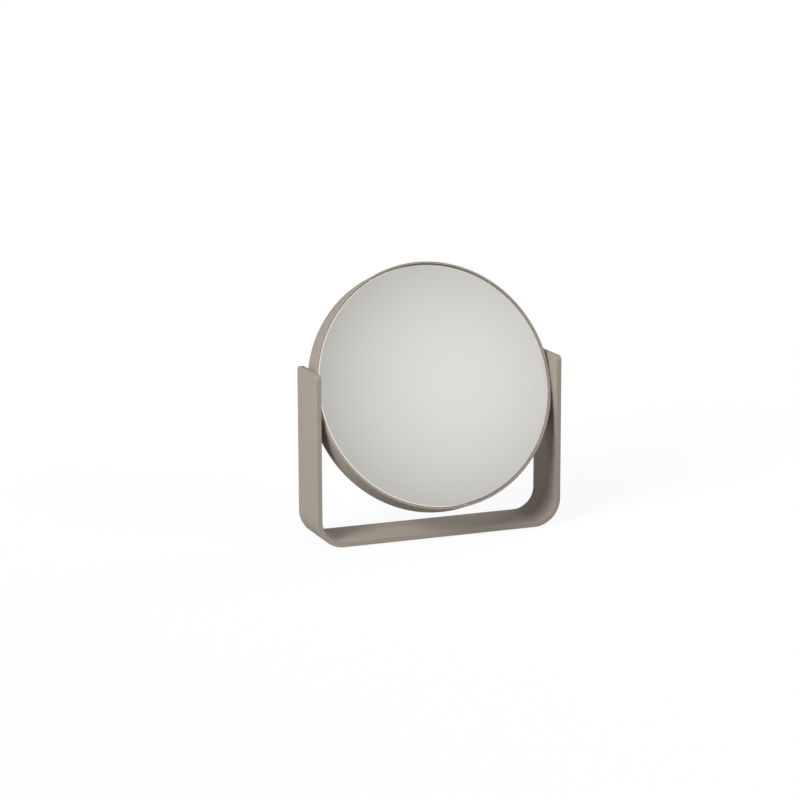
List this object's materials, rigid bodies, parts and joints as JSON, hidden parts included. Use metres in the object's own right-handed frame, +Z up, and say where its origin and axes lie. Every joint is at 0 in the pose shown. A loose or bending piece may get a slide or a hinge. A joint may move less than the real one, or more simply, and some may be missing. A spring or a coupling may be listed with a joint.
{
  "type": "tilting table mirror",
  "caption": "Round two-sided table mirror in a hoop that tilts between the posts of a U-shaped stand bent from flat bar, one side plain, the other magnifying.",
  "frame": {"origin": "middle of the resting face under the base, on the surface the mirror stands on", "axes": "+Z up, -Y towards the front, +X to the viewer's right, along the tilt axis"},
  "size_m": [0.19, 0.08, 0.1969],
  "materials": {
    "coated_steel": "matt soft-touch coating, warm grey-beige",
    "plain_mirror": "silvered flat glass with a polished bevel",
    "magnifying_mirror": "silvered hollow glass",
    "pad_rubber": "matt silicone rubber",
    "moulded_core": "moulded, lightly textured",
    "foam_tape": "closed-cell foam",
    "bright_steel": "turned and zinc plated",
    "bush_plastic": "natural nylon"
  },
  "bodies": {
    "stand": {"stand_band": "coated_steel", "base_pad": "pad_rubber", "pivot_screw_left": "bright_steel", "pivot_screw_right": "bright_steel", "spacer_washer_left": "bush_plastic", "spacer_washer_right": "bush_plastic", "disc_spring_left": "bright_steel", "disc_spring_right": "bright_steel"},
    "mirror_head": {"mirror_hoop": "coated_steel", "hoop_core": "moulded_core", "core_screws": "bright_steel", "plain_mirror_glass": "plain_mirror", "plain_mirror_tape": "foam_tape", "plain_mirror_pad": "foam_tape", "magnifying_mirror_glass": "magnifying_mirror", "magnifying_mirror_tape": "foam_tape", "pivot_block_left": "moulded_core", "pivot_block_right": "moulded_core", "pivot_bush_left": "bush_plastic", "pivot_bush_right": "bush_plastic", "thrust_washer_left": "bright_steel", "thrust_washer_right": "bright_steel"}
  },
  "joints": [
    {"name": "mirror_tilt", "type": "hinge", "parent": "stand", "child": "mirror_head", "pos_m": [0, 0, 0.10838], "axis": [1, 0, 0], "continuous": true}
  ]
}
